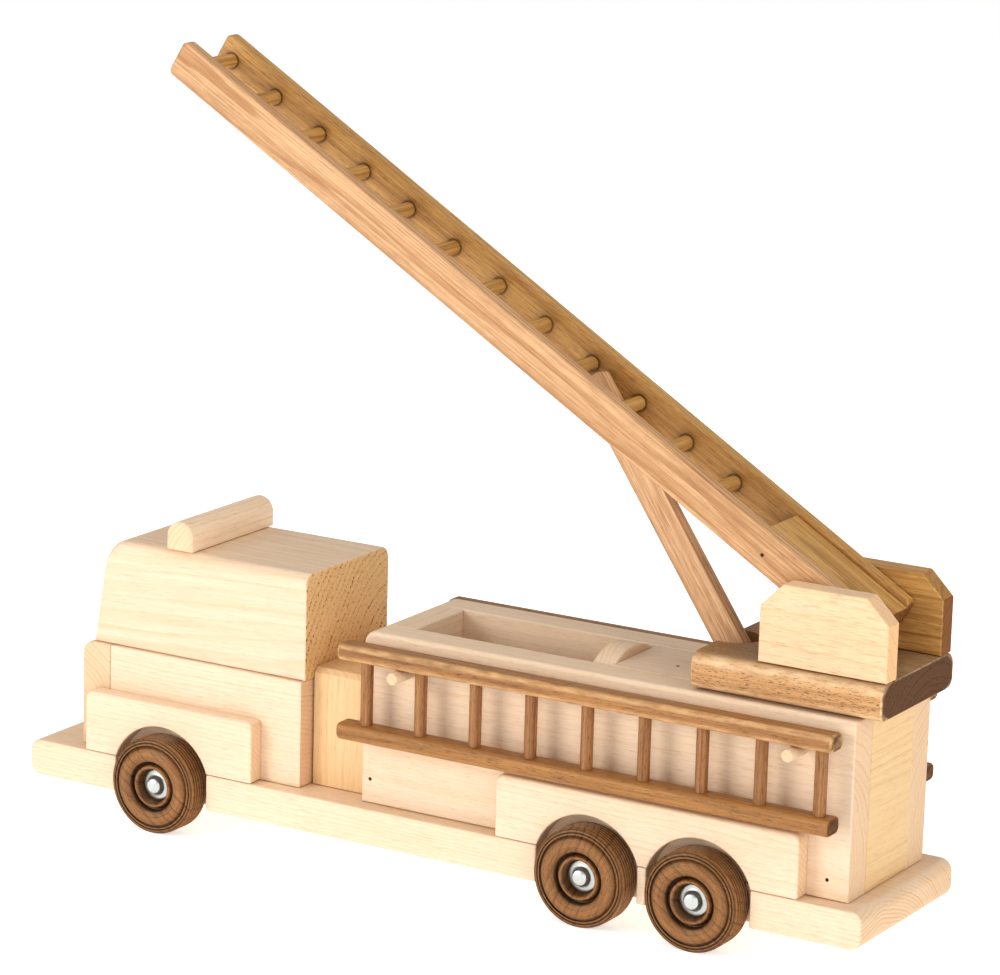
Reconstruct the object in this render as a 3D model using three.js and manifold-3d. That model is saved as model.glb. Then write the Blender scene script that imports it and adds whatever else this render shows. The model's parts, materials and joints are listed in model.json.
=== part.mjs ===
// Wooden toy fire engine: plank chassis, block cab, open hose bed, swivelling turntable with a lifting aerial
// ladder and its prop, two hung side ladders and six turned wheels.
// Millimetres. +Z is up, -Y is the front, +X is the vehicle's left. The origin is on the ground, under the
// middle of the chassis.

import * as THREE from 'three';
import { mergeVertices } from 'three/addons/utils/BufferGeometryUtils.js';
import Module from 'manifold-3d';

const wasm = await Module();
wasm.setup();

// ---------------------------------------------------------------- driving dimensions

const INCH = 25.4;
const GAP = 0.3; // clearance between neighbouring pieces
const BORE_GAP = 0.3; // radial clearance of a dowel in its hole
const ROUND_SEGMENTS = 5; // straight pieces in a rounded corner

const CHASSIS = { length: 19.25 * INCH, width: 4 * INCH, thickness: 0.75 * INCH, endRadius: 6 };
const WHEEL = { radius: INCH, width: 15.9, innerFace: 44, segments: 32 };
const AXLE = { radius: INCH / 8, segments: 16, frontY: -160.4, middleY: 94.3, rearY: 156.4 };
const CAP = { flangeRadius: 8, flangeThickness: 1, domeRadius: 4.2, tip: 58.1, seat: 52.7, segments: 20 };
const NOTCH = { halfLength: 28.5, wall: 42.8 };
const ARCH_RADIUS = 30;
const BODY_HALF_WIDTH = 1.625 * INCH; // lower cab and hose bed
const FENDER = { thickness: 0.375 * INCH, height: 32.4, corner: 3.5 };
const FENDER_FRONT = { front: -208.4, rear: -104 };
const FENDER_REAR = { front: 42, rear: 210 };

const CAB = {
  front: -217.1,
  boardThickness: 17.2,
  boardRadius: 5.5,
  rear: -80.2,
  floorTop: 91.1,
  upperHalfWidth: 38.8,
  upperFront: -211.4,
  upperRear: -79.4,
  roof: 147.1,
  windscreenLean: 8.6,
  browRadius: 11,
  roofEdgeRadius: 5.5,
};
const LIGHT_BAR = { y: -158.9, width: 0.625 * INCH, halfLength: 38.1, height: 15.4 };

const FILLER = { halfWidth: 31, top: 97.2, chamfer: 2.6 };
const BED = {
  front: -42.6,
  rear: 232.4,
  top: 124.9,
  wall: 18.2,
  board: 19.05,
  frontRadius: 6,
  edgeRadius: 2.5,
};
const PARTITION = { front: 77, rear: 89.5, crown: 129.9, archRadius: 35 };

const TURNTABLE = {
  halfWidth: 39.5,
  front: 141.8,
  rear: 244.2,
  bottom: 125.9,
  top: 144,
  topRadius: 6.5,
  bottomRadius: 5,
  notchRadius: 0.5 * INCH,
  notchY: 146.2,
};
const SWIVEL = { y: 193, radius: 0.1875 * INCH, bottom: 110, top: 138, segments: 20 };
const CHEEK = { inner: 24.4, outer: 35.8, front: 176, rear: 244.2, top: 184.1, chamfer: 12 };
const PIVOT = { y: 212.1, z: 169.8, radius: 0.15625 * INCH, halfLength: 31, segments: 16 };

const LADDER = {
  angle: THREE.MathUtils.degToRad(30.9),
  length: 465.4,
  depth: 19.7,
  railInner: 16,
  railOuter: 23.3,
  pivotFromEnd: 15.6,
  endRadius: 3,
  blockLength: 71.8,
  blockHeight: 17.2,
  rungs: 12,
  rungPitch: 1.25 * INCH,
  topRungFromEnd: 9,
  rungRadius: 3.65,
  rungDrop: 1.2, // below the middle of the rails' depth
  rungSeat: 4.5,
  propRung: 8, // counted down from the top rung
  segments: 14,
};
const PROP = {
  y: 145.4, // centre of the rounded heel
  z: 127.1,
  angle: THREE.MathUtils.degToRad(53.6),
  lean: THREE.MathUtils.degToRad(3.5), // sideways, towards the right rail
  width: 15.4,
  thickness: 7.4,
  heelRadius: 1.6,
  edgeRadius: 0.8,
  tipRadius: 3,
  endGap: 0.6, // below the rung that rests on its end
};

const PEG = { radius: 0.125 * INCH, end: 61.9, seat: 10, z: 109, frontY: -13.4, rearY: 206.7, segments: 12 };
const SIDE_LADDER = {
  front: -47.9,
  rear: 228.3,
  centreX: 52.4,
  railWidth: 12.7,
  railHeight: 8.8,
  upperBottom: 112.5,
  lowerBottom: 71.2,
  rungs: 9,
  rungPitch: 1.25 * INCH,
  firstRungY: -33.4,
  rungRadius: 0.125 * INCH,
  rungSeat: 4,
  edgeRadius: 2.2,
  segments: 12,
};

// ---------------------------------------------------------------- derived dimensions

const chassisBottom = WHEEL.radius - CHASSIS.thickness / 2;
const chassisTop = WHEEL.radius + CHASSIS.thickness / 2;
const bodyFloor = chassisTop + GAP;
const bedInner = BODY_HALF_WIDTH - BED.wall;
const fenderInner = BODY_HALF_WIDTH + GAP;
const fenderOuter = BODY_HALF_WIDTH + FENDER.thickness;
const rungDistance = (index) =>
  LADDER.length - LADDER.topRungFromEnd - LADDER.pivotFromEnd - index * LADDER.rungPitch;

// ---------------------------------------------------------------- materials

const finish = (color, roughness, metalness = 0) =>
  new THREE.MeshStandardMaterial({ color, roughness, metalness });
const pine = () => finish(0xf3dcb4, 0.6);
const honeyPine = () => finish(0xcf9a5e, 0.5);
const walnut = () => finish(0xa8703f, 0.5);
const darkWalnut = () => finish(0x6b4423, 0.45);
const zincSteel = () => finish(0xc4c8cc, 0.3, 1);

// ---------------------------------------------------------------- geometry helpers

// A manifold solid from a three.js geometry.
function solid(geometry) {
  const bare = geometry.clone();
  bare.deleteAttribute('normal');
  bare.deleteAttribute('uv');
  const merged = mergeVertices(bare, 1e-4);
  return new wasm.Manifold(
    new wasm.Mesh({
      numProp: 3,
      vertProperties: new Float32Array(merged.attributes.position.array),
      triVerts: new Uint32Array(merged.index.array),
    }),
  );
}

// A three.js geometry from a manifold solid.
function geometryOf(manifold) {
  const mesh = manifold.getMesh();
  const geometry = new THREE.BufferGeometry();
  geometry.setAttribute('position', new THREE.BufferAttribute(new Float32Array(mesh.vertProperties), 3));
  geometry.setIndex(new THREE.BufferAttribute(new Uint32Array(mesh.triVerts), 1));
  geometry.computeVertexNormals();
  return geometry;
}

function cut(geometry, ...tools) {
  return geometryOf(tools.reduce((body, tool) => body.subtract(solid(tool)), solid(geometry)));
}

function join(geometry, ...others) {
  return geometryOf(others.reduce((body, other) => body.add(solid(other)), solid(geometry)));
}

function common(first, second) {
  return geometryOf(solid(first).intersect(solid(second)));
}

// An outline through the given corners, each [x, y, radius], listed counter-clockwise.
function outline(corners) {
  const shape = new THREE.Shape();
  corners.forEach(([x, y, radius = 0], index) => {
    const corner = new THREE.Vector2(x, y);
    const [px, py] = corners[(index + corners.length - 1) % corners.length];
    const [nx, ny] = corners[(index + 1) % corners.length];
    const back = new THREE.Vector2(px, py).sub(corner).normalize();
    const ahead = new THREE.Vector2(nx, ny).sub(corner).normalize();
    const setback = radius / Math.tan(Math.acos(back.dot(ahead)) / 2);
    const start = corner.clone().addScaledVector(back, setback);
    const end = corner.clone().addScaledVector(ahead, setback);
    if (index === 0) shape.moveTo(start.x, start.y);
    else shape.lineTo(start.x, start.y);
    if (radius === 0) return;
    const centre = start.clone().add(new THREE.Vector2(-back.y, back.x).multiplyScalar(-radius));
    const from = Math.atan2(start.y - centre.y, start.x - centre.x);
    const to = Math.atan2(end.y - centre.y, end.x - centre.x);
    shape.absarc(centre.x, centre.y, radius, from, to, false);
  });
  shape.closePath();
  return shape;
}

function extrude(shape, depth) {
  return new THREE.ExtrudeGeometry(shape, { depth, bevelEnabled: false, curveSegments: ROUND_SEGMENTS });
}

// A side view, drawn with Y across and Z up, given its width from x0 to x1.
function sideExtrusion(shape, x0, x1) {
  const turn = new THREE.Matrix4().makeBasis(
    new THREE.Vector3(0, 1, 0),
    new THREE.Vector3(0, 0, 1),
    new THREE.Vector3(1, 0, 0),
  );
  return extrude(shape, x1 - x0).applyMatrix4(turn).translate(x0, 0, 0);
}

// A rear view, drawn with X across (to the vehicle's right) and Z up, given its length from y0 to y1.
function endExtrusion(shape, y0, y1) {
  const turn = new THREE.Matrix4().makeBasis(
    new THREE.Vector3(-1, 0, 0),
    new THREE.Vector3(0, 0, 1),
    new THREE.Vector3(0, 1, 0),
  );
  return extrude(shape, y1 - y0).applyMatrix4(turn).translate(0, y0, 0);
}

function box(x0, x1, y0, y1, z0, z1) {
  const geometry = new THREE.BoxGeometry(x1 - x0, y1 - y0, z1 - z0);
  return geometry.translate((x0 + x1) / 2, (y0 + y1) / 2, (z0 + z1) / 2);
}

// A rod along X.
function rodX(radius, x0, x1, y, z, segments) {
  const geometry = new THREE.CylinderGeometry(radius, radius, x1 - x0, segments);
  return geometry.rotateZ(Math.PI / 2).translate((x0 + x1) / 2, y, z);
}

// A rod along Z.
function rodZ(radius, x, y, z0, z1, segments) {
  const geometry = new THREE.CylinderGeometry(radius, radius, z1 - z0, segments);
  return geometry.rotateX(Math.PI / 2).translate(x, y, (z0 + z1) / 2);
}

// A turned piece about X, from a profile of [radius, x] whose outer surface runs towards +X.
function turned(profile, segments) {
  const points = profile.map(([radius, x]) => new THREE.Vector2(radius, x));
  return new THREE.LatheGeometry(points, segments).rotateZ(-Math.PI / 2);
}

// The same geometry on the vehicle's other side.
function mirrored(geometry) {
  const copy = (geometry.index ? geometry.toNonIndexed() : geometry.clone()).scale(-1, 1, 1);
  const { array } = copy.attributes.position;
  for (let start = 0; start < array.length; start += 9) {
    for (let axis = 0; axis < 3; axis += 1) {
      const kept = array[start + 3 + axis];
      array[start + 3 + axis] = array[start + 6 + axis];
      array[start + 6 + axis] = kept;
    }
  }
  copy.computeVertexNormals();
  return copy;
}

const vehicle = new THREE.Group();

function add(name, geometry, material, parent = vehicle) {
  const mesh = new THREE.Mesh(geometry, material);
  mesh.name = name;
  parent.add(mesh);
}

// One piece on the left as drawn and its mirror image on the right.
function addPair(name, geometry, material, parent = vehicle) {
  add(`${name}_left`, geometry, material(), parent);
  add(`${name}_right`, mirrored(geometry), material(), parent);
}

// ---------------------------------------------------------------- chassis and running gear

function chassis() {
  const half = CHASSIS.length / 2;
  const side = outline([
    [-half, chassisBottom, CHASSIS.endRadius],
    [half, chassisBottom, CHASSIS.endRadius],
    [half, chassisTop, CHASSIS.endRadius],
    [-half, chassisTop, CHASSIS.endRadius],
  ]);
  const tools = [AXLE.frontY, AXLE.middleY, AXLE.rearY].flatMap((y) => [
    rodX(AXLE.radius + BORE_GAP, -60, 60, y, WHEEL.radius, AXLE.segments),
    box(NOTCH.wall, 60, y - NOTCH.halfLength, y + NOTCH.halfLength, 0, 60),
    box(-60, -NOTCH.wall, y - NOTCH.halfLength, y + NOTCH.halfLength, 0, 60),
  ]);
  return cut(sideExtrusion(side, -CHASSIS.width / 2, CHASSIS.width / 2), ...tools);
}

// The section lists [radius, distance from the inner face], from the bore over the rim to the hub recess.
function wheel() {
  const bore = AXLE.radius + BORE_GAP;
  const recess = CAP.flangeRadius + 0.7;
  const floor = CAP.seat - GAP - WHEEL.innerFace;
  const rim = WHEEL.radius;
  const section = [
    [bore, floor],
    [bore, 0],
    [rim - 1, 0],
    [rim, 1],
    [rim, WHEEL.width - 2.6],
    [rim - 0.8, WHEEL.width - 1.5],
    [21.4, WHEEL.width - 1.1],
    [17.6, WHEEL.width],
    [14.6, WHEEL.width - 0.7],
    [12.6, WHEEL.width - 3.4],
    [11.4, WHEEL.width - 1.4],
    [recess, WHEEL.width - 1.4],
    [recess, floor],
    [bore, floor],
  ];
  return turned(section.map(([radius, t]) => [radius, WHEEL.innerFace + t]), WHEEL.segments);
}

function pushCap() {
  const bore = AXLE.radius + BORE_GAP;
  const flangeTop = CAP.seat + CAP.flangeThickness;
  const section = [
    [0, CAP.tip - 1.8],
    [bore, CAP.tip - 1.8],
    [bore, CAP.seat],
    [CAP.flangeRadius, CAP.seat],
    [CAP.flangeRadius, flangeTop],
    [CAP.domeRadius, flangeTop],
    [CAP.domeRadius, CAP.tip - 1.6],
    [CAP.domeRadius * 0.75, CAP.tip - 0.5],
    [0, CAP.tip],
  ];
  return turned(section, CAP.segments);
}

add('chassis', chassis(), pine());
const axles = { front: AXLE.frontY, middle: AXLE.middleY, rear: AXLE.rearY };
for (const [place, y] of Object.entries(axles)) {
  const end = CAP.tip - 2.1;
  add(`axle_${place}`, rodX(AXLE.radius, -end, end, y, WHEEL.radius, AXLE.segments), zincSteel());
  addPair(`wheel_${place}`, wheel().translate(0, y, WHEEL.radius), darkWalnut);
  addPair(`axle_cap_${place}`, pushCap().translate(0, y, WHEEL.radius), zincSteel);
}

// ---------------------------------------------------------------- cab

function cabFrontBoard() {
  const rear = CAB.front + CAB.boardThickness;
  const side = outline([
    [CAB.front, bodyFloor],
    [rear, bodyFloor],
    [rear, CAB.floorTop],
    [CAB.front, CAB.floorTop, CAB.boardRadius],
  ]);
  return sideExtrusion(side, -BODY_HALF_WIDTH, BODY_HALF_WIDTH);
}

function cabUpperBlock() {
  const floor = CAB.floorTop + GAP;
  const side = outline([
    [CAB.upperFront, floor],
    [CAB.upperRear, floor],
    [CAB.upperRear, CAB.roof],
    [CAB.upperFront + CAB.windscreenLean, CAB.roof, CAB.browRadius],
  ]);
  const end = outline([
    [-CAB.upperHalfWidth, floor],
    [CAB.upperHalfWidth, floor],
    [CAB.upperHalfWidth, CAB.roof, CAB.roofEdgeRadius],
    [-CAB.upperHalfWidth, CAB.roof, CAB.roofEdgeRadius],
  ]);
  return common(
    sideExtrusion(side, -CAB.upperHalfWidth - 1, CAB.upperHalfWidth + 1),
    endExtrusion(end, CAB.upperFront - 1, CAB.upperRear + 1),
  );
}

function lightBar() {
  const floor = CAB.roof + GAP;
  const half = LIGHT_BAR.width / 2;
  const shape = new THREE.Shape();
  shape.moveTo(LIGHT_BAR.y - half, floor);
  shape.lineTo(LIGHT_BAR.y + half, floor);
  shape.absarc(LIGHT_BAR.y, floor + LIGHT_BAR.height - half, half, 0, Math.PI, false);
  shape.closePath();
  return sideExtrusion(shape, -LIGHT_BAR.halfLength, LIGHT_BAR.halfLength);
}

const lowerBlockFront = CAB.front + CAB.boardThickness + GAP;
const lowerBlock = [-BODY_HALF_WIDTH, BODY_HALF_WIDTH, lowerBlockFront, CAB.rear, bodyFloor, CAB.floorTop];
add('cab_front_board', cabFrontBoard(), pine());
add('cab_lower_block', box(...lowerBlock), pine());
add('cab_upper_block', cabUpperBlock(), pine());
add('light_bar', lightBar(), pine());

// ---------------------------------------------------------------- fenders

function fender({ front, rear }, axleYs) {
  const top = bodyFloor + FENDER.height;
  const side = outline([
    [front, bodyFloor, FENDER.corner],
    [rear, bodyFloor, FENDER.corner],
    [rear, top, FENDER.corner],
    [front, top, FENDER.corner],
  ]);
  const arches = axleYs.map((y) => rodX(ARCH_RADIUS, 30, 60, y, WHEEL.radius, 48));
  return cut(sideExtrusion(side, fenderInner, fenderOuter), ...arches);
}

addPair('fender_front', fender(FENDER_FRONT, [AXLE.frontY]), pine);
addPair('fender_rear', fender(FENDER_REAR, [AXLE.middleY, AXLE.rearY]), pine);

// ---------------------------------------------------------------- body between cab and bed, and the hose bed

function fillerBlock() {
  const end = outline([
    [-FILLER.halfWidth, bodyFloor],
    [FILLER.halfWidth, bodyFloor],
    [FILLER.halfWidth, FILLER.top - FILLER.chamfer],
    [FILLER.halfWidth - FILLER.chamfer, FILLER.top],
    [-FILLER.halfWidth + FILLER.chamfer, FILLER.top],
    [-FILLER.halfWidth, FILLER.top - FILLER.chamfer],
  ]);
  return endExtrusion(end, CAB.upperRear + GAP, BED.front - GAP);
}

function bedSide() {
  const side = outline([
    [BED.front, bodyFloor],
    [BED.rear, bodyFloor],
    [BED.rear, BED.top],
    [BED.front, BED.top, BED.frontRadius],
  ]);
  const end = outline([
    [-BODY_HALF_WIDTH, bodyFloor],
    [-bedInner, bodyFloor],
    [-bedInner, BED.top],
    [-BODY_HALF_WIDTH, BED.top, BED.edgeRadius],
  ]);
  const board = common(
    sideExtrusion(side, bedInner - 1, BODY_HALF_WIDTH + 1),
    endExtrusion(end, BED.front - 1, BED.rear + 1),
  );
  const sockets = [PEG.frontY, PEG.rearY].map((y) =>
    rodX(PEG.radius + BORE_GAP, BODY_HALF_WIDTH - PEG.seat - GAP, 60, y, PEG.z, PEG.segments),
  );
  return cut(board, ...sockets);
}

function bedFrontBoard() {
  const rear = BED.front + BED.board;
  const side = outline([
    [BED.front, bodyFloor],
    [rear, bodyFloor],
    [rear, BED.top],
    [BED.front, BED.top, BED.frontRadius],
  ]);
  return sideExtrusion(side, -bedInner + GAP, bedInner - GAP);
}

function partition() {
  const half = bedInner - GAP;
  const archCentre = PARTITION.crown - PARTITION.archRadius;
  const spread = Math.asin(half / PARTITION.archRadius);
  const shape = new THREE.Shape();
  shape.moveTo(-half, bodyFloor);
  shape.lineTo(half, bodyFloor);
  shape.absarc(0, archCentre, PARTITION.archRadius, Math.PI / 2 - spread, Math.PI / 2 + spread, false);
  shape.closePath();
  return endExtrusion(shape, PARTITION.front, PARTITION.rear);
}

function deckBoard() {
  const rear = BED.rear - BED.board - GAP;
  const plank = box(
    -bedInner + GAP, bedInner - GAP, PARTITION.rear + GAP, rear, BED.top - BED.board, BED.top,
  );
  const socket = rodZ(SWIVEL.radius + BORE_GAP, 0, SWIVEL.y, SWIVEL.bottom - GAP, 130, SWIVEL.segments);
  return cut(plank, socket);
}

const rearPanel = [-bedInner + GAP, bedInner - GAP, BED.rear - BED.board, BED.rear, bodyFloor, BED.top];
add('body_filler_block', fillerBlock(), pine());
addPair('bed_side', bedSide(), pine);
add('bed_front_board', bedFrontBoard(), pine());
add('bed_partition', partition(), pine());
add('deck_board', deckBoard(), pine());
add('rear_panel', box(...rearPanel), pine());

// ---------------------------------------------------------------- turntable

function turntable() {
  const end = outline([
    [-TURNTABLE.halfWidth, TURNTABLE.bottom, TURNTABLE.bottomRadius],
    [TURNTABLE.halfWidth, TURNTABLE.bottom, TURNTABLE.bottomRadius],
    [TURNTABLE.halfWidth, TURNTABLE.top, TURNTABLE.topRadius],
    [-TURNTABLE.halfWidth, TURNTABLE.top, TURNTABLE.topRadius],
  ]);
  return cut(
    endExtrusion(end, TURNTABLE.front, TURNTABLE.rear),
    rodZ(TURNTABLE.notchRadius, 0, TURNTABLE.notchY, 120, 150, 40),
    rodZ(SWIVEL.radius + BORE_GAP, 0, SWIVEL.y, 120, SWIVEL.top + GAP, SWIVEL.segments),
  );
}

function cheek() {
  const side = outline([
    [CHEEK.front, TURNTABLE.top + GAP],
    [CHEEK.rear, TURNTABLE.top + GAP],
    [CHEEK.rear, CHEEK.top - CHEEK.chamfer],
    [CHEEK.rear - CHEEK.chamfer, CHEEK.top],
    [CHEEK.front + CHEEK.chamfer, CHEEK.top],
    [CHEEK.front, CHEEK.top - CHEEK.chamfer],
  ]);
  const socket = rodX(PIVOT.radius + BORE_GAP, 0, PIVOT.halfLength + GAP, PIVOT.y, PIVOT.z, PIVOT.segments);
  return cut(sideExtrusion(side, CHEEK.inner, CHEEK.outer), socket);
}

const swivelPin = rodZ(SWIVEL.radius, 0, SWIVEL.y, SWIVEL.bottom, SWIVEL.top, SWIVEL.segments);
const pivotDowel = rodX(
  PIVOT.radius, -PIVOT.halfLength, PIVOT.halfLength, PIVOT.y, PIVOT.z, PIVOT.segments,
);
add('swivel_pin', swivelPin, pine());
add('turntable', turntable(), walnut());
addPair('turntable_cheek', cheek(), honeyPine);
add('ladder_pivot_dowel', pivotDowel, pine());

// ---------------------------------------------------------------- aerial ladder

// The ladder's own frame has its origin on the pivot, runs up the ladder along -Y and keeps +Z square to it.
const ladder = new THREE.Group();
ladder.position.set(0, PIVOT.y, PIVOT.z);
ladder.rotation.x = -LADDER.angle;
vehicle.add(ladder);

function ladderRail() {
  const half = LADDER.depth / 2;
  const side = outline([
    [LADDER.pivotFromEnd - LADDER.length, -half, LADDER.endRadius],
    [LADDER.pivotFromEnd, -half, LADDER.endRadius],
    [LADDER.pivotFromEnd, half, LADDER.endRadius],
    [LADDER.pivotFromEnd - LADDER.length, half, LADDER.endRadius],
  ]);
  const seat = LADDER.railInner + LADDER.rungSeat + GAP;
  const seats = Array.from({ length: LADDER.rungs }, (_, index) =>
    rodX(LADDER.rungRadius + BORE_GAP, 0, seat, -rungDistance(index), -LADDER.rungDrop, LADDER.segments),
  );
  const pivotHole = rodX(PIVOT.radius + BORE_GAP, 0, 40, 0, 0, PIVOT.segments);
  return cut(sideExtrusion(side, LADDER.railInner, LADDER.railOuter), pivotHole, ...seats);
}

function ladderBlock() {
  const half = LADDER.railInner - GAP;
  const low = -LADDER.depth / 2;
  const blockTop = LADDER.pivotFromEnd - LADDER.blockLength;
  const block = box(-half, half, blockTop, LADDER.pivotFromEnd, low, low + LADDER.blockHeight);
  return cut(block, rodX(PIVOT.radius + BORE_GAP, -40, 40, 0, 0, PIVOT.segments));
}

addPair('ladder_rail', ladderRail(), honeyPine, ladder);
add('ladder_base_block', ladderBlock(), honeyPine(), ladder);
for (let index = 0; index < LADDER.rungs; index += 1) {
  const end = LADDER.railInner + LADDER.rungSeat;
  const rung = rodX(
    LADDER.rungRadius, -end, end, -rungDistance(index), -LADDER.rungDrop, LADDER.segments,
  );
  add(`ladder_rung_${String(LADDER.rungs - index).padStart(2, '0')}`, rung, honeyPine(), ladder);
}

// ---------------------------------------------------------------- prop

// The prop's own frame has its origin at the centre of its rounded heel and runs up the prop along -Y.
const prop = new THREE.Group();
prop.position.set(0, PROP.y, PROP.z);
prop.rotation.set(-PROP.angle, 0, -PROP.lean);
vehicle.add(prop);

// How far up the prop from its heel the carried rung lies.
function carriedRungDistance() {
  const distance = rungDistance(LADDER.propRung);
  const { sin, cos } = Math;
  const up = distance * sin(LADDER.angle) - LADDER.rungDrop * cos(LADDER.angle) + PIVOT.z - PROP.z;
  const ahead = distance * cos(LADDER.angle) + LADDER.rungDrop * sin(LADDER.angle) + PROP.y - PIVOT.y;
  return ahead * cos(PROP.angle) + up * sin(PROP.angle);
}

function propStick() {
  const front = -PROP.heelRadius;
  const rear = PROP.width - PROP.heelRadius;
  const end = carriedRungDistance() - LADDER.rungRadius - PROP.endGap;
  const side = outline([
    [-end, front, PROP.edgeRadius],
    [PROP.heelRadius, front, PROP.heelRadius],
    [PROP.heelRadius, rear, PROP.edgeRadius],
    [-end, rear, PROP.tipRadius],
  ]);
  return sideExtrusion(side, -PROP.thickness / 2, PROP.thickness / 2);
}

add('ladder_prop', propStick(), honeyPine(), prop);

// ---------------------------------------------------------------- side ladders and their pegs

function sideRail(bottom) {
  const half = SIDE_LADDER.railWidth / 2;
  const end = outline([
    [-SIDE_LADDER.centreX - half, bottom, SIDE_LADDER.edgeRadius],
    [-SIDE_LADDER.centreX + half, bottom, SIDE_LADDER.edgeRadius],
    [-SIDE_LADDER.centreX + half, bottom + SIDE_LADDER.railHeight, SIDE_LADDER.edgeRadius],
    [-SIDE_LADDER.centreX - half, bottom + SIDE_LADDER.railHeight, SIDE_LADDER.edgeRadius],
  ]);
  return endExtrusion(end, SIDE_LADDER.front, SIDE_LADDER.rear);
}

function sideRungs(radius, z0, z1) {
  return Array.from({ length: SIDE_LADDER.rungs }, (_, index) => {
    const y = SIDE_LADDER.firstRungY + index * SIDE_LADDER.rungPitch;
    return rodZ(radius, SIDE_LADDER.centreX, y, z0, z1, SIDE_LADDER.segments);
  });
}

function sideUpperRail() {
  const bottom = SIDE_LADDER.upperBottom;
  const seat = bottom + SIDE_LADDER.rungSeat + GAP;
  return cut(sideRail(bottom), ...sideRungs(SIDE_LADDER.rungRadius + BORE_GAP, bottom - 5, seat));
}

function sideLowerRailWithRungs() {
  const bottom = SIDE_LADDER.lowerBottom;
  const rungTop = SIDE_LADDER.upperBottom + SIDE_LADDER.rungSeat;
  const rungs = sideRungs(SIDE_LADDER.rungRadius, bottom + SIDE_LADDER.railHeight / 2, rungTop);
  return join(sideRail(bottom), ...rungs);
}

function peg(y) {
  return rodX(PEG.radius, BODY_HALF_WIDTH - PEG.seat, PEG.end, y, PEG.z, PEG.segments);
}

addPair('side_ladder_upper_rail', sideUpperRail(), walnut);
addPair('side_ladder_lower_rail_with_rungs', sideLowerRailWithRungs(), walnut);
addPair('peg_front', peg(PEG.frontY), pine);
addPair('peg_rear', peg(PEG.rearY), pine);

export default vehicle;
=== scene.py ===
import json
import math

import bmesh
import bpy
from mathutils import Matrix, Vector


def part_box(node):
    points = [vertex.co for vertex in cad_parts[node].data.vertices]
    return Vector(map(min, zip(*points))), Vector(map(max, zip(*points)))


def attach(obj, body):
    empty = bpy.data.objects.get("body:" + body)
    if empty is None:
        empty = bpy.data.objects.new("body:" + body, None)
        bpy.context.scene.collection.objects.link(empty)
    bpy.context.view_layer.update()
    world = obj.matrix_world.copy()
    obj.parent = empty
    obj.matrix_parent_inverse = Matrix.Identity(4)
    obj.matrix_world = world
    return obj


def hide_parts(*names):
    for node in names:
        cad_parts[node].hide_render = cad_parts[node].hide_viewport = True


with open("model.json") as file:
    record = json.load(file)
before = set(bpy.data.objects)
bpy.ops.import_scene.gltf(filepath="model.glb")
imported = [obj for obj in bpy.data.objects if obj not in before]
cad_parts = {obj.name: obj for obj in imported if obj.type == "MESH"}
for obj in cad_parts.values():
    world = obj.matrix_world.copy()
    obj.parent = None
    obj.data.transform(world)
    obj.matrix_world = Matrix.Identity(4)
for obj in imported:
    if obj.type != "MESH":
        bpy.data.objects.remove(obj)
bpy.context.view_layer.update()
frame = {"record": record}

MM = 0.001
X, Y, Z = Vector((1, 0, 0)), Vector((0, 1, 0)), Vector((0, 0, 1))

# ---------------------------------------------------------------- sizes not in the frame, in millimetres

RIM_STEP = 1.0  # rims that differ by more than this meet at a corner with the wider one's profile
SHOULDER_GAP = 0.5  # flat left between such a corner and the narrow rim
CHASSIS_END_RADIUS = 6.0
FRONT_EDGE_RADIUS = 5.5  # top front edges of the bonnet and the hose bed
ARCH_RADIUS = 30.0
AXLE_RADIUS = 3.175
LADDER_ANGLE = math.radians(30.9)
LADDER_LENGTH = 465.4
LADDER_DEPTH = 19.7
LADDER_PIVOT_FROM_END = 15.6
TOP_RUNG = 440.8  # from the pivot, along the ladder
RUNG_PITCH = 31.75
RUNG_DROP = 1.2  # below the middle of the rails
PROP_ANGLE = math.radians(53.6)
PROP_LEAN = math.radians(3.5)
TREAD_GROOVES = 5


# ---------------------------------------------------------------- the frame, in millimetres

def span(*nodes):
    """Lowest and highest corner of these CAD nodes together."""
    boxes = [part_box(node) for node in nodes]
    low = [min(box[0][axis] for box in boxes) / MM for axis in range(3)]
    high = [max(box[1][axis] for box in boxes) / MM for axis in range(3)]
    return low, high


def middle_line(low, high):
    """Middle y and z of a box."""
    return (low[1] + high[1]) / 2, (low[2] + high[2]) / 2


def joint_place(name):
    """A joint's point."""
    joint = next(j for j in frame["record"]["behaviour"]["joints"] if j["name"] == name)
    return Vector(joint["pos_m"]) / MM


# ---------------------------------------------------------------- outlines
# An outline is a list of corners (x, y, radius); a curve is many corners of radius 0.

def arc(cx, cy, radius, start, end, steps):
    """Corners along an arc, angles in degrees."""
    angles = [math.radians(start + (end - start) * step / steps) for step in range(steps + 1)]
    return [(cx + radius * math.cos(a), cy + radius * math.sin(a), 0.0) for a in angles]


def rectangle(low, high, *radii):
    """Anticlockwise from the low corner, with one radius for all the corners or one for each."""
    places = [(low[0], low[1]), (high[0], low[1]), (high[0], high[1]), (low[0], high[1])]
    return [(*place, radii[index % len(radii)]) for index, place in enumerate(places)]


def cut_rectangle(low, high, cut, foot_radius, cut_radius):
    """Anticlockwise from the low corner, with the two upper corners cut off at 45 degrees."""
    corners = [(low[0], low[1], foot_radius), (high[0], low[1], foot_radius)]
    corners += [(high[0], high[1] - cut, cut_radius), (high[0] - cut, high[1], cut_radius)]
    corners += [(low[0] + cut, high[1], cut_radius), (low[0], high[1] - cut, cut_radius)]
    return corners


def counter_clockwise(corners):
    area = sum(a[0] * b[1] - b[0] * a[1] for a, b in zip(corners, corners[1:] + corners[:1]))
    return corners if area > 0 else corners[::-1]


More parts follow.
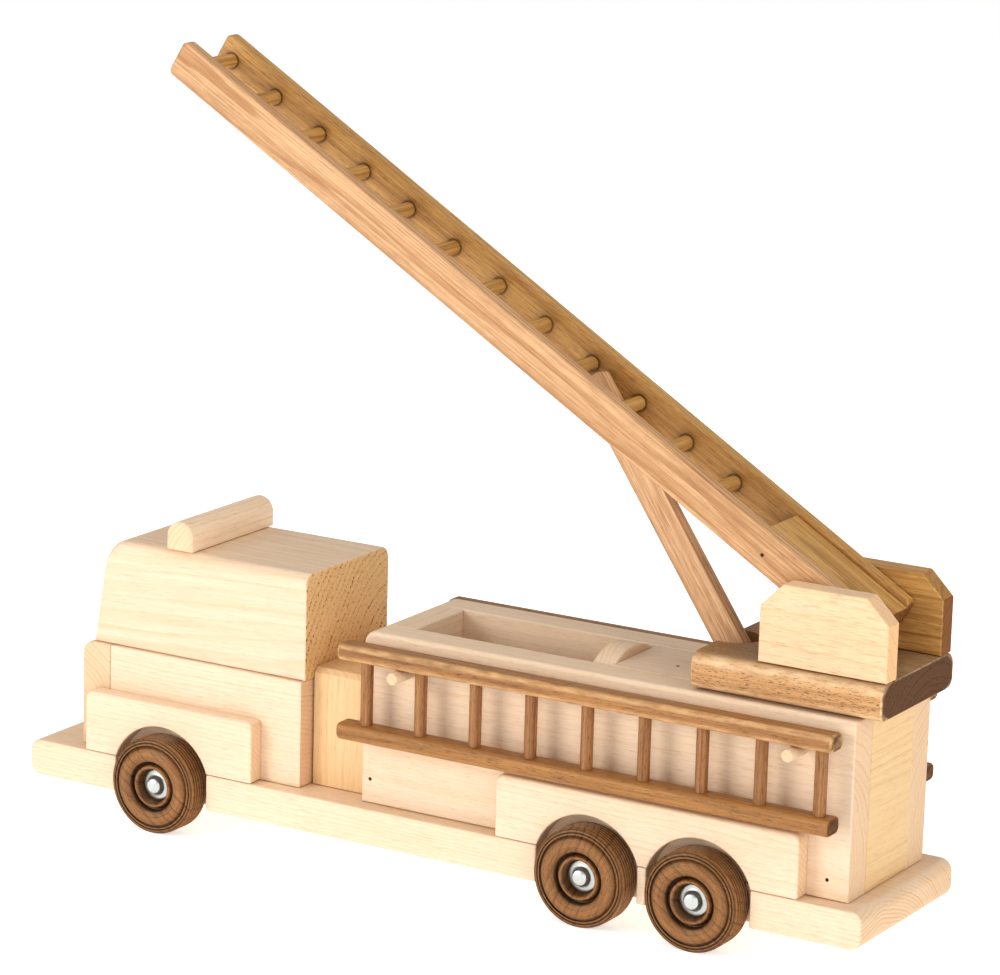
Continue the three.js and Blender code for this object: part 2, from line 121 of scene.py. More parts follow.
def sides(corners):
    """For each corner, the middle and the outward normal of the side that starts there."""
    found = []
    for a, b in zip(corners, corners[1:] + corners[:1]):
        along = Vector((b[0] - a[0], b[1] - a[1])).normalized()
        found.append((Vector(((a[0] + b[0]) / 2, (a[1] + b[1]) / 2)), Vector((along.y, -along.x))))
    return found


def rim_radii(source, corners):
    """Each side's rim radius, from a number or a function of the side's middle and normal."""
    return [source(*side) if callable(source) else source for side in sides(corners)]


def beside(corner, neighbour, distance):
    """A plain point on the side from corner to neighbour."""
    here = Vector(corner[:2])
    place = here + (Vector(neighbour[:2]) - here).normalized() * distance
    return place.x, place.y, 0.0


def shouldered(corners, sources):
    """The outline with a plain point beside each corner where a wide rim meets a narrow one."""
    radii = [rim_radii(source, corners) for source in sources]
    found = []
    for index, corner in enumerate(corners):
        before, after = [values[index - 1] for values in radii], [values[index] for values in radii]
        distance = max(before + after) + corner[2] + SHOULDER_GAP
        if max(b - a for a, b in zip(before, after)) > RIM_STEP:
            found.append(beside(corner, corners[index - 1], distance))
        found.append(corner)
        if max(a - b for a, b in zip(before, after)) > RIM_STEP:
            found.append(beside(corner, corners[(index + 1) % len(corners)], distance))
    return found


def moved_in(corners, insets, steps):
    """Points of the outline with each side moved in by its inset and the corners rounded.

    Each corner gives steps + 1 points, or one if its radius is 0, and each has its share of the next side.
    """
    normals = [normal for _, normal in sides(corners)]
    points = []
    for index, (x, y, radius) in enumerate(corners):
        before, after = normals[index - 1], normals[index]
        cross = before.x * after.y - before.y * after.x
        first, second = insets[index - 1], insets[index]
        if abs(cross) < 0.02:
            corner = Vector((x, y)) - (before + after).normalized() * (first + second) / 2
        else:
            shift_x = (-first * after.y + second * before.y) / cross
            shift_y = (-second * before.x + first * after.x) / cross
            corner = Vector((x, y)) + Vector((shift_x, shift_y))
        if radius == 0:
            points.append((corner, 0.5))
            continue
        bend = 1 if cross > 0 else -1
        left = max(0.001, radius - bend * min(first, second))
        turn = before.angle(after)
        back = Vector((before.y, -before.x))
        start = corner + back * left * math.tan(turn / 2)
        centre = start - before * left * bend
        for step in range(steps + 1):
            arm = Matrix.Rotation(bend * turn * step / steps, 2) @ (before * left * bend)
            points.append((centre + arm, step / steps))
    return points


# ---------------------------------------------------------------- meshes

PLANES = {
    "YZ": lambda u, v, t: (t, u, v),
    "XZ": lambda u, v, t: (u, t, v),
    "XY": lambda u, v, t: (u, v, t),
}


def new_piece(name, geometry, materials, body, nodes):
    """A finished piece from points in millimetres, on its body and in place of its CAD nodes."""
    vertices, faces, rims = geometry
    mesh = bpy.data.meshes.new(name)
    mesh.from_pydata([Vector(v) * MM for v in vertices], [], faces)
    mesh.attributes.new("rim", "FLOAT", "POINT").data.foreach_set("value", rims)
    builder = bmesh.new()
    builder.from_mesh(mesh)
    bmesh.ops.remove_doubles(builder, verts=builder.verts, dist=1e-6)
    bmesh.ops.recalc_face_normals(builder, faces=builder.faces)
    builder.to_mesh(mesh)
    builder.free()
    for polygon in mesh.polygons:
        polygon.use_smooth = True
    mesh.set_sharp_from_angle(angle=math.radians(38))
    for material in materials:
        mesh.materials.append(material)
    piece = bpy.data.objects.new(name, mesh)
    bpy.context.scene.collection.objects.link(piece)
    weighted = piece.modifiers.new("flat_faces", "WEIGHTED_NORMAL")
    weighted.keep_sharp = True
    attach(piece, body)
    if nodes:
        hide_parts(*nodes)
    return piece


def slab(corners, low, high, plane, edge, edge_low=None, steps=4, corner_steps=5):
    """Vertices, faces and rim values of an outline pulled from low to high, with rounded rims.

    edge is the rim's radius at the high end, or a function from a side's middle and normal to it. edge_low is
    the same for the low end, where it differs.
    """
    sources = (edge if edge_low is None else edge_low, edge)
    corners = shouldered(counter_clockwise(corners), sources)
    place = PLANES[plane]
    rims = [rim_radii(source, corners) for source in sources]
    turns = [math.pi / 2 * step / steps for step in range(steps + 1)]
    vertices = []
    rim_values = []
    for radii, level, way, sweep in ((rims[0], low, 1, turns), (rims[1], high, -1, turns[::-1])):
        owners = []
        for index, corner in enumerate(corners):
            owners += [index] * (1 if corner[2] == 0 else corner_steps + 1)
        for turn in sweep:
            insets = [radius * (1 - math.sin(turn)) for radius in radii]
            for owner, (point, share) in zip(owners, moved_in(corners, insets, corner_steps)):
                before, after = radii[owner - 1], radii[owner]
                meeting = abs(before - after) > RIM_STEP
                radius = max(before, after) if meeting else before * (1 - share) + after * share
                vertices.append(place(point.x, point.y, level + way * radius * (1 - math.cos(turn))))
                at_corner = math.sin(math.pi * share) if corners[owner][2] > 0 else 0.0
                rim_values.append(max(math.sin(2 * turn), at_corner))
        size = len(owners)
    rings = 2 * (steps + 1)
    faces = [list(range(size))[::-1], list(range((rings - 1) * size, rings * size))]
    for ring in range(rings - 1):
        for index in range(size):
            following = (index + 1) % size
            faces.append([
                ring * size + index,
                ring * size + following,
                (ring + 1) * size + following,
                (ring + 1) * size + index,
            ])
    return vertices, faces, rim_values


def lathe(profile, start, along, segments=96):
    """Vertices, faces and rim values of a profile of (radius, distance) turned about a line from start."""
    along = Vector(along).normalized()
    side = along.orthogonal().normalized()
    up = along.cross(side)
    vertices = []
    rings = []
    for radius, distance in profile:
        centre = Vector(start) + along * distance
        ring = []
        count = 1 if radius == 0 else segments
        for index in range(count):
            angle = 2 * math.pi * index / segments
            ring.append(len(vertices))
            vertices.append(centre + (side * math.cos(angle) + up * math.sin(angle)) * radius)
        rings.append(ring)
    faces = []
    for low, high in zip(rings, rings[1:]):
        for index in range(segments):
            corners = [low[index % len(low)], low[(index + 1) % len(low)]]
            corners += [high[(index + 1) % len(high)], high[index % len(high)]]
            faces.append(list(dict.fromkeys(corners)))
    return vertices, [face for face in faces if len(face) > 2], [0.0] * len(vertices)


def rod(start, end, radius, chamfer=0.6, segments=32):
    """Vertices, faces and rim values of a dowel with eased ends."""
    along = Vector(end) - Vector(start)
    length = along.length
    profile = [(0, 0), (radius - chamfer, 0), (radius - chamfer * 0.3, chamfer * 0.3), (radius, chamfer)]
    middles = max(2, int(length / 12))
    profile += [(radius, chamfer + (length - 2 * chamfer) * k / middles) for k in range(1, middles)]
    profile += [(radius, length - chamfer), (radius - chamfer * 0.3, length - chamfer * 0.3)]
    profile += [(radius - chamfer, length), (0, length)]
    return lathe(profile, start, along, segments)


def turned(geometry, origin, angle, lean=0.0):
    """The same geometry in a frame at origin, turned by -angle about X after leaning about its own Z."""
    vertices, faces, rims = geometry
    matrix = Matrix.Translation(origin) @ Matrix.Rotation(-angle, 4, "X") @ Matrix.Rotation(-lean, 4, "Z")
    return [matrix @ Vector(v) for v in vertices], faces, rims


# ---------------------------------------------------------------- materials

def srgb(red, green, blue):
    """Linear colour with alpha, from 0 to 255 display values."""
    values = [c / 255 for c in (red, green, blue)]
    return [c / 12.92 if c < 0.04045 else ((c + 0.055) / 1.055) ** 2.4 for c in values] + [1.0]


class Graph:
    """Short calls that add linked nodes to a new material."""

    def __init__(self, name):
        self.material = bpy.data.materials.new(name)
        self.material.use_nodes = True
        self.tree = self.material.node_tree
        self.tree.nodes.clear()

    def node(self, kind, inputs=None, **settings):
        node = self.tree.nodes.new(kind)
        for key, value in settings.items():
            setattr(node, key, value)
        for key, value in (inputs or {}).items():
            if isinstance(value, bpy.types.NodeSocket):
                self.tree.links.new(value, node.inputs[key])
            else:
                node.inputs[key].default_value = value
        return node

    def math(self, operation, *values, clamp=False):
        node = self.node("ShaderNodeMath", dict(enumerate(values)), operation=operation, use_clamp=clamp)
        return node.outputs[0]

    def vector(self, x, y, z):
        return self.node("ShaderNodeCombineXYZ", {0: x, 1: y, 2: z}).outputs[0]

    def dot(self, vector, direction):
        node = self.node("ShaderNodeVectorMath", {0: vector, 1: tuple(direction)}, operation="DOT_PRODUCT")
        return node.outputs["Value"]

    def mix(self, factor, first, second, blend="MIX"):
        inputs = {0: factor, 6: first, 7: second}
        return self.node("ShaderNodeMix", inputs, data_type="RGBA", blend_type=blend).outputs[2]

    def noise(self, vector, detail=2.0, roughness=0.5):
        inputs = {"Vector": vector, "Scale": 1.0, "Detail": detail, "Roughness": roughness}
        return self.node("ShaderNodeTexNoise", inputs).outputs["Fac"]

    def ramp(self, value, *stops):
        """A grey curve through (place, value) stops."""
        node = self.node("ShaderNodeValToRGB", {0: value})
        elements = node.color_ramp.elements
        while len(elements) < len(stops):
            elements.new(0.5)
        for element, (place, grey) in zip(elements, stops):
            element.position = place
            element.color = (grey, grey, grey, 1.0)
        return node.outputs["Color"]

    def finish(self, inputs):
        shader = self.node("ShaderNodeBsdfPrincipled", inputs)
        output = self.node("ShaderNodeOutputMaterial")
        self.tree.links.new(shader.outputs[0], output.inputs[0])
        return self.material


# Each look's colours are early and late wood, pores and end grain. ring, streak_width and pore_size are in
# millimetres. edge lightens a rim where it is positive, with wear and a painted highlight, and darkens it
# where it is negative.
LOOKS = {
    "pine": dict(
        early=srgb(240, 217, 191), late=srgb(221, 175, 122), pore=srgb(176, 118, 64), end=srgb(223, 186, 142),
        ring=2.5, late_strength=0.42, streak=0.12, streak_width=2.0, fibre=0.04,
        pores=0.22, pore_size=(0.45, 9.0), end_strength=0.4, fleck=0.2,
        roughness=0.5, coat=0.05, edge=0.1,
    ),
    "honey": dict(
        early=srgb(220, 174, 108), late=srgb(146, 95, 42), pore=srgb(84, 48, 18), end=srgb(122, 76, 38),
        ring=3.1, late_strength=0.62, streak=0.5, streak_width=1.1, fibre=0.17,
        pores=0.42, pore_size=(0.34, 15.0), end_strength=0.85, fleck=0.3,
        roughness=0.42, coat=0.12, edge=-0.45,
    ),
    "walnut": dict(
        early=srgb(174, 124, 78), late=srgb(98, 61, 32), pore=srgb(50, 27, 12), end=srgb(84, 52, 26),
        ring=2.8, late_strength=0.5, streak=0.5, streak_width=1.5, fibre=0.2,
        pores=0.6, pore_size=(0.42, 5.0), end_strength=0.9, fleck=0.4,
        roughness=0.38, coat=0.15, edge=0.35,
    ),
    "dark_walnut": dict(
        early=srgb(178, 124, 68), late=srgb(72, 42, 20), pore=srgb(30, 16, 8), end=srgb(110, 68, 34),
        ring=3.4, late_strength=0.55, streak=0.2, streak_width=1.6, fibre=0.13,
        pores=0.5, pore_size=(0.4, 3.5), end_strength=0.25, fleck=0.3,
        roughness=0.42, coat=0.22, edge=0.0,
    ),
}


def wood(name, look, grain, pith, tilt=(0.0, 0.0), seed=0.0, tint=1.0, stain_and_shade=None, **changes):
    """Solid wood: growth rings round a pith line, streaks and pores along it, and flecked end grain.

    grain is the direction of the fibres, pith a point of the pith line in millimetres, and tilt leans that
    line. stain_and_shade is an optional function from the graph and the place in millimetres to a darkening
    from 0 to 1, which carries real stain and painted shade. Other arguments stand in for values of the look,
    or set two more: end_late adds to late_strength on end grain, and wear_and_highlight_colour is the colour
    of a rim lightened by wear and by a painted highlight.
    """
    values = {**LOOKS[look], **changes}
    g = Graph(name)
    coordinates = g.node("ShaderNodeTexCoord").outputs
    straight = Vector(grain).normalized()
    across = straight.orthogonal().normalized()
    upward = straight.cross(across)
    fibre_way = (straight + across * tilt[0] + upward * tilt[1]).normalized()
    across = (across - fibre_way * across.dot(fibre_way)).normalized()
    upward = fibre_way.cross(across)

    def measured(direction):
        distance = g.dot(coordinates["Object"], direction / MM)
        return g.math("SUBTRACT", distance, Vector(pith).dot(direction))

    a, b, length = measured(across), measured(upward), measured(fibre_way)

    def stretched(wide, tall, shift):
        """Noise place in cells this wide across the fibres and this long along them, in millimetres."""
        along = g.math("MULTIPLY_ADD", length, 1 / tall, shift + seed)
        return g.vector(g.math("DIVIDE", a, wide), g.math("DIVIDE", b, wide), along)

    bend, wobble = 9.0, 0.6  # spread of the pith line in millimetres, and of a ring in rings
    bend_a = g.math("MULTIPLY_ADD", g.noise(stretched(34, 150, 3.1), 1.5), bend, -bend / 2)
    bend_b = g.math("MULTIPLY_ADD", g.noise(stretched(34, 150, 47.3), 1.5), bend, -bend / 2)
    ring_a, ring_b = g.math("ADD", a, bend_a), g.math("ADD", b, bend_b)
    squares = g.math("ADD", g.math("MULTIPLY", ring_a, ring_a), g.math("MULTIPLY", ring_b, ring_b))
    radius = g.math("SQRT", squares)
    wander = g.math("MULTIPLY_ADD", g.noise(stretched(4, 60, 11.7), 3.0), wobble, -wobble / 2)
    rings = g.math("ADD", g.math("DIVIDE", radius, values["ring"]), wander)
    phase = g.math("FRACT", rings)
    ring_noise = g.node("ShaderNodeTexWhiteNoise", {"W": g.math("FLOOR", rings)}, noise_dimensions="1D")
    profile = g.ramp(phase, (0.0, 0.1), (0.3, 0.0), (0.62, 0.25), (0.86, 1.0), (0.94, 0.9), (1.0, 0.1))
    late = g.math("MULTIPLY", profile, g.math("MULTIPLY_ADD", ring_noise.outputs["Value"], 0.8, 0.2))
    fibre = g.noise(stretched(0.40, 12, 5.0), 3.0, 0.6)
    streak = g.ramp(g.noise(stretched(values["streak_width"], 150, 8.0), 3.0, 0.6), (0.38, 0.0), (0.66, 1.0))
    blotch = g.ramp(g.noise(stretched(22, 70, 21.0), 2.0), (0.3, 0.0), (0.7, 1.0))
    pore_wide, pore_tall = values["pore_size"]
    pores = g.ramp(g.noise(stretched(pore_wide, pore_tall, 31.0), 2.0, 0.6), (0.57, 0.0), (0.66, 1.0))
    fleck = g.ramp(g.noise(stretched(1.0, 9.0, 77.0), 1.0), (0.56, 0.0), (0.61, 1.0))

    facing = g.math("ABSOLUTE", g.dot(coordinates["Normal"], straight))
    end = g.ramp(facing, (0.55, 0.0), (0.9, 1.0))
    share = g.math("MULTIPLY_ADD", end, values.get("end_late", 0.3), values["late_strength"])
    late_share = g.math("MULTIPLY", late, share, clamp=True)
    colour = g.mix(late_share, values["early"], values["late"])
    colour = g.mix(g.math("MULTIPLY", streak, values["streak"]), colour, values["late"])
    colour = g.mix(g.math("MULTIPLY", blotch, 0.25), colour, g.mix(0.5, values["early"], values["late"]))
    pore_strength = g.math("MULTIPLY_ADD", end, -0.5 * values["pores"], values["pores"])
    colour = g.mix(g.math("MULTIPLY", pores, pore_strength), colour, values["pore"])
    absorbed = g.mix(1.0, colour, values["end"], "MULTIPLY")
    end_share = g.math("MULTIPLY", end, values["end_strength"])
    colour = g.mix(end_share, colour, g.mix(0.35, values["end"], absorbed))
    fleck_share = g.math("MULTIPLY", g.math("MULTIPLY", fleck, end), values["fleck"])
    fleck_share = g.math("MULTIPLY", fleck_share, g.math("MULTIPLY_ADD", late, 0.9, 0.12))
    colour = g.mix(fleck_share, colour, values["pore"])

    # Rims: where edge is positive they are lightened by wear and by a painted highlight; where negative,
    # darkened.
    rim = g.node("ShaderNodeAttribute", attribute_name="rim").outputs["Fac"]
    rim_patches = g.math("MULTIPLY_ADD", g.noise(stretched(3.0, 9.0, 55.0), 2.0), 1.6, -0.3, clamp=True)
    wear_and_highlight = g.math("MULTIPLY", g.math("MULTIPLY", rim, rim_patches), abs(values["edge"]))
    wear_and_highlight_colour = values.get("wear_and_highlight_colour", values["early"])
    colour = g.mix(wear_and_highlight, colour, wear_and_highlight_colour if values["edge"] > 0 else values["end"])

    shade = g.math("MULTIPLY_ADD", fibre, 2 * values["fibre"], tint - values["fibre"])
    # The optional darkening paints shade as well as stain.
    if stain_and_shade:
        place = [g.dot(coordinates["Object"], axis / MM) for axis in (X, Y, Z)]
        shade = g.math("MULTIPLY", shade, g.math("SUBTRACT", 1.0, stain_and_shade(g, *place)))
    grey = g.node("ShaderNodeCombineColor", {0: shade, 1: shade, 2: shade}).outputs[0]
    colour = g.mix(1.0, colour, grey, "MULTIPLY")

    pitted = g.math("MULTIPLY_ADD", pores, -1.0, g.math("MULTIPLY", fibre, 0.9))
    height = g.math("MULTIPLY_ADD", late, 0.4, pitted)
    bump = g.node("ShaderNodeBump", {"Strength": 0.3, "Distance": 0.0002, "Height": height}).outputs[0]
    rough = g.math("MULTIPLY_ADD", fibre, 0.22, values["roughness"] - 0.08)
    rough = g.math("MULTIPLY_ADD", end, 0.3, rough)
    return g.finish({
        "Base Color": colour,
        "Roughness": rough,
        "Normal": bump,
        "Specular IOR Level": 0.3,
        "Coat Weight": g.math("MULTIPLY_ADD", end, -values["coat"], values["coat"]),
        "Coat Roughness": 0.35,
    })


def zinc():
    """Bright zinc plate with fine turning marks and faint clouding."""
    g = Graph("zinc_plate")
    place = g.node("ShaderNodeTexCoord").outputs["Object"]
    fine = g.node("ShaderNodeTexNoise", {"Vector": place, "Scale": 900.0, "Detail": 3.0}).outputs["Fac"]
    cloud = g.node("ShaderNodeTexNoise", {"Vector": place, "Scale": 160.0, "Detail": 2.0}).outputs["Fac"]
    colour = g.mix(cloud, srgb(186, 192, 190), srgb(218, 222, 218))
    rough = g.math("MULTIPLY_ADD", fine, 0.12, 0.34)
    bump = g.node("ShaderNodeBump", {"Strength": 0.06, "Distance": 0.0001, "Height": fine}).outputs[0]
    return g.finish({"Base Color": colour, "Metallic": 1.0, "Roughness": rough, "Normal": bump})


def nail_dark():
    """Dark filler in a nail hole."""
    g = Graph("nail_hole_filler")
    place = g.node("ShaderNodeTexCoord").outputs["Object"]
    grime = g.node("ShaderNodeTexNoise", {"Vector": place, "Scale": 1500.0, "Detail": 3.0}).outputs["Fac"]
    colour = g.mix(grime, srgb(34, 20, 10), srgb(78, 50, 28))
    return g.finish({"Base Color": colour, "Roughness": g.math("MULTIPLY_ADD", grime, 0.2, 0.7)})


ZINC = zinc()


# ---------------------------------------------------------------- chassis, cab and fenders

def chassis():
    low, high = span("chassis")
    wheel_gap = 28.5
    wall = 42.8
    middle = (low[2] + high[2]) / 2
    # Seen from above, with the notches; the rounded ends come from the rim radius along the end edges.
    corners = [(low[0], low[1], 1.5), (high[0], low[1], 1.5)]
    axle_ys = [joint_place(f"wheel_{place}_left_spin").y for place in ("front", "middle", "rear")]
    for y in axle_ys:
        corners += [(high[0], y - wheel_gap, 0.8), (wall, y - wheel_gap, 2.0)]
        corners += [(wall, y + wheel_gap, 2.0), (high[0], y + wheel_gap, 0.8)]
    corners += [(high[0], high[1], 1.5), (low[0], high[1], 1.5)]
    for y in reversed(axle_ys):
        corners += [(low[0], y + wheel_gap, 0.8), (-wall, y + wheel_gap, 2.0)]
        corners += [(-wall, y - wheel_gap, 2.0), (low[0], y - wheel_gap, 0.8)]

    def rim(side_middle, normal):
        at_end = abs(normal.y) > 0.9 and min(side_middle.y - low[1], high[1] - side_middle.y) < 1
        return CHASSIS_END_RADIUS if at_end else 0.9

    arcs = dict(end_late=0.9, end_strength=0.3, ring=2.0)
    material = wood("chassis_pine", "pine", Y, (30, 0, middle - 60), (0.0, 0.012), 1.3, **arcs)
    geometry = slab(corners, low[2], high[2], "XY", rim, rim, 8)
    return new_piece("chassis_plank", geometry, [material], "truck", ["chassis"])


def side_board(name, node, outline, rim, rim_low, material):
    low, high = span(node)
    geometry = slab(outline, low[0], high[0], "YZ", rim, rim_low, 5)
    return new_piece(name, geometry, [material], "truck", [node])


def cab():
    low, high = span("cab_front_board")
    outline = rectangle(low[1:], high[1:], 0.6, 0.6, 0.8, FRONT_EDGE_RADIUS)
    board = wood("cab_board_pine", "pine", X, (0, low[1] - 22, low[2] + 12), (0.02, 0.0), 4.1, 0.99)
    side_board("cab_bonnet_board", "cab_front_board", outline, 0.7, 0.7, board)

    low, high = span("cab_lower_block")
    outline = rectangle(low[1:], high[1:], 0.6, 0.6, 0.8, 0.8)
    lower = wood("cab_lower_pine", "pine", Y, (52, 0, low[2] - 46), (0.008, 0.012), 6.4)
    side_board("cab_lower_wood", "cab_lower_block", outline, 0.5, 0.5, lower)

    low, high = span("cab_upper_block")
    lean = 8.6
    brow = 11.0
    outline = [(low[1], low[2], 0.8), (high[1], low[2], 0.8), (high[1], high[2], 1.4)]
    outline.append((low[1] + lean, high[2], brow))

    def roof_edge(_, normal):
        return 5.5 if normal.y > 0.9 else 0.6

    tan_end = dict(
        end=srgb(236, 200, 140), pore=srgb(126, 74, 36), end_strength=0.75, end_late=1.2, fleck=1.4,
        ring=3.9, streak=0.28, streak_width=3.0, pores=0.13,
    )
    upper = wood("cab_upper_pine", "pine", Y, (-70, 0, low[2] - 30), (0.035, -0.03), 9.2, 0.985, **tan_end)
    side_board("cab_upper_wood", "cab_upper_block", outline, roof_edge, roof_edge, upper)

    low, high = span("light_bar")
    half = (high[1] - low[1]) / 2
    middle = (high[1] + low[1]) / 2
    outline = [(low[1], low[2], 0.5), (high[1], low[2], 0.5)] + arc(middle, high[2] - half, half, 0, 180, 24)
    bar = wood("light_bar_pine", "pine", X, (0, middle + 30, low[2] - 12), (0.015, 0.01), 12.8, 1.08)
    side_board("light_bar_wood", "light_bar", outline, 1.6, 1.6, bar)

    low, high = span("body_filler_block")
    corners = cut_rectangle(low[::2], high[::2], 2.6, 0.4, 0.7)
    tan = dict(early=srgb(240, 206, 160), late=srgb(218, 172, 120), streak=0.2, late_strength=0.4)
    block = wood("filler_pine", "pine", Z, (high[0] + 34, low[1] - 10, 0), (0.0, 0.01), 15.3, 0.98, **tan)
    geometry = slab(corners, low[1], high[1], "XZ", 0.6)
    new_piece("filler_wood", geometry, [block], "truck", ["body_filler_block"])


def fender(place, side, axle_places, seed):
    node = f"fender_{place}_{side}"
    low, high = span(node)
    axle_z = joint_place("wheel_front_left_spin").z
    drop = math.degrees(math.asin((low[2] - axle_z) / ARCH_RADIUS))
    outline = [(low[1], low[2], 1.2)]
    for axle in axle_places:
        y = joint_place(f"wheel_{axle}_{side}_spin").y
        outline += arc(y, axle_z, ARCH_RADIUS, 180 - drop, drop, 44)
    outline += [(high[1], low[2], 1.2), (high[1], high[2], 3.5), (low[1], high[2], 3.5)]

    def outer(_, normal):
        return 2.0 if normal.y > 0.9 else 0.9

    rims = (outer, 0.4) if side == "left" else (0.4, outer)
    tint = 1.0 if side == "left" else 0.98
    pith = (high[0] + 44, 0, low[2] - 30 - seed)
    material = wood(f"{node}_pine", "pine", Y, pith, (0.006, 0.016), seed, tint)
    side_board(f"{node}_wood", node, outline, *rims, material)


# ---------------------------------------------------------------- hose bed

def bed():
    for side, sign in (("left", 1), ("right", -1)):
        node = f"bed_side_{side}"
        low, high = span(node)
        corners = rectangle(low[1:], high[1:], 0.5, 0.5, 1.0, FRONT_EDGE_RADIUS)

        def outer(_, normal):
            return 2.4 if normal.y > 0.9 else 0.9

        rims = (outer, 0.5) if side == "left" else (0.5, outer)
        faint = dict(late_strength=0.26, ring=3.4)
        pith = (sign * 70, 0, low[2] + 22)
        material = wood(f"{node}_pine", "pine", Y, pith, (0.01, 0.01), 21.0 + sign, 0.98, **faint)
        side_board(f"{node}_wood", node, corners, *rims, material)

    low, high = span("bed_front_board")
    corners = rectangle(low[1:], high[1:], 0.5, 0.5, 1.0, FRONT_EDGE_RADIUS)
    board = wood("bed_front_pine", "pine", X, (0, low[1] - 16, high[2] - 40), (0.01, 0.02), 27.0, 0.97)
    side_board("bed_front_wood", "bed_front_board", corners, 0.3, 0.3, board)

    low, high = span("bed_partition")
    crown_radius = 35.0
    spread = math.degrees(math.asin(high[0] / crown_radius))
    outline = [(low[0], low[2], 0.4), (high[0], low[2], 0.4)]
    outline += arc(0, high[2] - crown_radius, crown_radius, 90 - spread, 90 + spread, 24)
    material = wood("partition_pine", "pine", X, (0, low[1] - 30, high[2] - 26), (0.02, 0.0), 31.0, 0.97)
    geometry = slab(outline, low[1], high[1], "XZ", 0.8)
    new_piece("partition_wood", geometry, [material], "truck", ["bed_partition"])

    low, high = span("deck_board")
    corners = rectangle(low[:2], high[:2], 0.6)
    material = wood("deck_pine", "pine", Y, (12, 0, high[2] - 52), (0.015, 0.02), 34.0, 0.96)
    geometry = slab(corners, low[2], high[2], "XY", 0.5)
    new_piece("deck_wood", geometry, [material], "truck", ["deck_board", "swivel_pin"])

    low, high = span("rear_panel")
    corners = rectangle(low[::2], high[::2], 0.5)
    tan = dict(early=srgb(234, 202, 154), late=srgb(212, 166, 108), streak=0.2, ring=3.2, late_strength=0.5)
    pith = (0, high[1] + 40, low[2] + 30)
    material = wood("rear_panel_pine", "pine", X, pith, (0.0, 0.03), 37.0, **tan)
    geometry = slab(corners, low[1], high[1], "XZ", 0.5)
    new_piece("rear_panel_wood", geometry, [material], "truck", ["rear_panel"])


# ---------------------------------------------------------------- wheels, axles and caps

def wheel_profile(radius, width):
    """(radius, distance from the inner face) from the bore round the tread and face to the hub recess."""
    bore = 3.5
    profile = [(bore, 0.0), (radius - 1.6, 0.0), (radius - 0.5, 0.4), (radius, 1.4)]
    first, last = 2.2, width - 3.4
    pitch = (last - first) / TREAD_GROOVES
    half, floor_half, depth = 0.75, 0.28, 0.95
    for groove in range(TREAD_GROOVES):
        at = first + pitch * (groove + 0.5)
        profile += [(radius, at - half), (radius - depth, at - floor_half)]
        profile += [(radius - depth, at + floor_half), (radius, at + half)]
    # A rounded shoulder and two fine grooves, each corner by its steps in from the tread and the outer face.
    rim = [(0.0, 2.9), (0.3, 2.1), (1.0, 1.6), (1.9, 1.45), (2.1, 2.1), (2.5, 2.1)]
    rim += [(2.7, 1.35), (3.5, 1.15), (3.7, 1.8), (4.1, 2.1), (4.3, 2.1)]
    profile += [(radius - inward, width - down) for inward, down in rim]
    # The broad rounded ring.
    crest, crest_half, crest_height = 17.0, 4.0, 2.2
    for step in range(1, 10):
        turn = math.pi * step / 10
        rise = crest_height * math.sin(turn) ** 0.8
        profile.append((crest + crest_half * math.cos(turn), width - crest_height + rise))
    # A deep groove and the hub's ring, each corner by its radius and its step in from the outer face.
    hub = [(13.0, 2.3), (12.7, 3.8), (12.0, 4.1), (11.6, 3.4)]
    hub += [(11.3, 2.2), (10.8, 1.5), (9.9, 1.4), (9.3, 1.8), (9.0, 2.6)]
    profile += [(hub_radius, width - down) for hub_radius, down in hub]
    return profile + [(8.8, 9.0), (8.2, 8.5), (bore, 8.4), (bore, 0.0)]


def groove_stain_and_shade(y, z):
    """Darkening in a wheel's turned grooves and on both sides of its broad ring, partly pooled stain and
    partly painted shade, and fine turning lines all over the face.
    """
    whole = 26.0  # the radius that counts as 1 in these stops of (radius, darkening)
    stops = [(0.30, 0.6), (0.345, 0.5), (0.375, 0.05), (0.43, 0.1), (0.455, 0.85), (0.49, 0.8), (0.515, 0.5)]
    stops += [(0.56, 0.22), (0.64, 0.0), (0.71, 0.02), (0.77, 0.25), (0.815, 0.5), (0.83, 0.85), (0.85, 0.2)]
    stops += [(0.872, 0.15), (0.89, 0.8), (0.908, 0.15), (0.925, 0.4), (0.942, 0.75), (0.962, 0.2)]
    stops.append((0.975, 0.0))

    def stain_and_shade(g, _, place_y, place_z):
        across, up = g.math("SUBTRACT", place_y, y), g.math("SUBTRACT", place_z, z)
        radius = g.math("SQRT", g.math("MULTIPLY_ADD", across, across, g.math("MULTIPLY", up, up)))
        turning = g.noise(g.vector(g.math("MULTIPLY", radius, 1.4), 0.0, 0.0), 3.0, 0.7)
        # Painted shade on both sides of the broad ring, and pooled stain with painted shade in the grooves.
        pooled_stain_and_shade = g.ramp(g.math("DIVIDE", radius, whole), *stops)
        lines = g.ramp(turning, (0.40, 0.0), (0.66, 0.5))
        clear = g.math("MULTIPLY", g.math("SUBTRACT", 1.0, pooled_stain_and_shade), g.math("SUBTRACT", 1.0, lines))
        return g.math("SUBTRACT", 1.0, clear)
    return stain_and_shade


